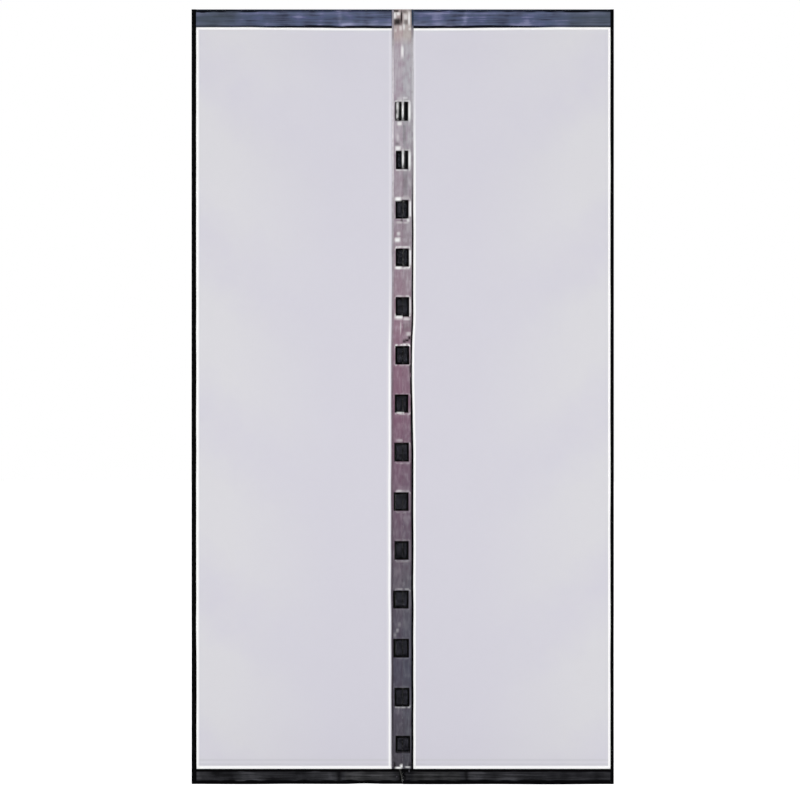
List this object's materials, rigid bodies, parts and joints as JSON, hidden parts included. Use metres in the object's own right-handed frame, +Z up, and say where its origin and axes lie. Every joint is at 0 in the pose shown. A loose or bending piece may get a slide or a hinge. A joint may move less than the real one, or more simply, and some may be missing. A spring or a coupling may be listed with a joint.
{
  "type": "magnetic door curtain",
  "caption": "Door curtain in two frosted film halves that hang from a cloth header and close along a clear magnetic centre strip.",
  "frame": {"origin": "middle of the adhesive back face of the hook tape that sticks to the lintel", "axes": "+Z up, +Y towards the wall so that -Y faces the viewer, +X to the viewer's right"},
  "size_m": [1.2, 0.0084, 2.2],
  "materials": {
    "frosted_film": "frosted",
    "clear_vinyl": "clear, glossy",
    "header_cloth": "plain weave",
    "binding_tape": "ribbed tape",
    "hem_cloth": "plain weave",
    "seam_ribbon": "woven ribbon",
    "loop_pile": "loop pile",
    "hook_nylon": "moulded hooks",
    "zinc_steel": "zinc plated",
    "ferrite": "sintered, matt"
  },
  "bodies": {
    "root": {"left_film_panel": "frosted_film", "left_header_band": "header_cloth", "left_loop_tape": "loop_pile", "left_side_binding": "binding_tape", "left_bottom_hem": "hem_cloth", "left_hem_weight": "zinc_steel", "left_magnet_sleeve": "clear_vinyl", "left_front_seam_tape": "seam_ribbon", "left_back_seam_tape": "seam_ribbon", "left_magnet_01": "ferrite", "left_magnet_02": "ferrite", "left_magnet_03": "ferrite", "left_magnet_04": "ferrite", "left_magnet_05": "ferrite", "left_magnet_06": "ferrite", "left_magnet_07": "ferrite", "left_magnet_08": "ferrite", "left_magnet_09": "ferrite", "left_magnet_10": "ferrite", "left_magnet_11": "ferrite", "left_magnet_12": "ferrite", "left_magnet_13": "ferrite", "left_magnet_14": "ferrite", "right_film_panel": "frosted_film", "right_header_band": "header_cloth", "right_loop_tape": "loop_pile", "right_side_binding": "binding_tape", "right_bottom_hem": "hem_cloth", "right_hem_weight": "zinc_steel", "right_magnet_sleeve": "clear_vinyl", "right_front_seam_tape": "seam_ribbon", "right_back_seam_tape": "seam_ribbon", "right_magnet_01": "ferrite", "right_magnet_02": "ferrite", "right_magnet_03": "ferrite", "right_magnet_04": "ferrite", "right_magnet_05": "ferrite", "right_magnet_06": "ferrite", "right_magnet_07": "ferrite", "right_magnet_08": "ferrite", "right_magnet_09": "ferrite", "right_magnet_10": "ferrite", "right_magnet_11": "ferrite", "right_magnet_12": "ferrite", "right_magnet_13": "ferrite", "right_magnet_14": "ferrite", "hook_tape": "hook_nylon"}
  },
  "joints": []
}
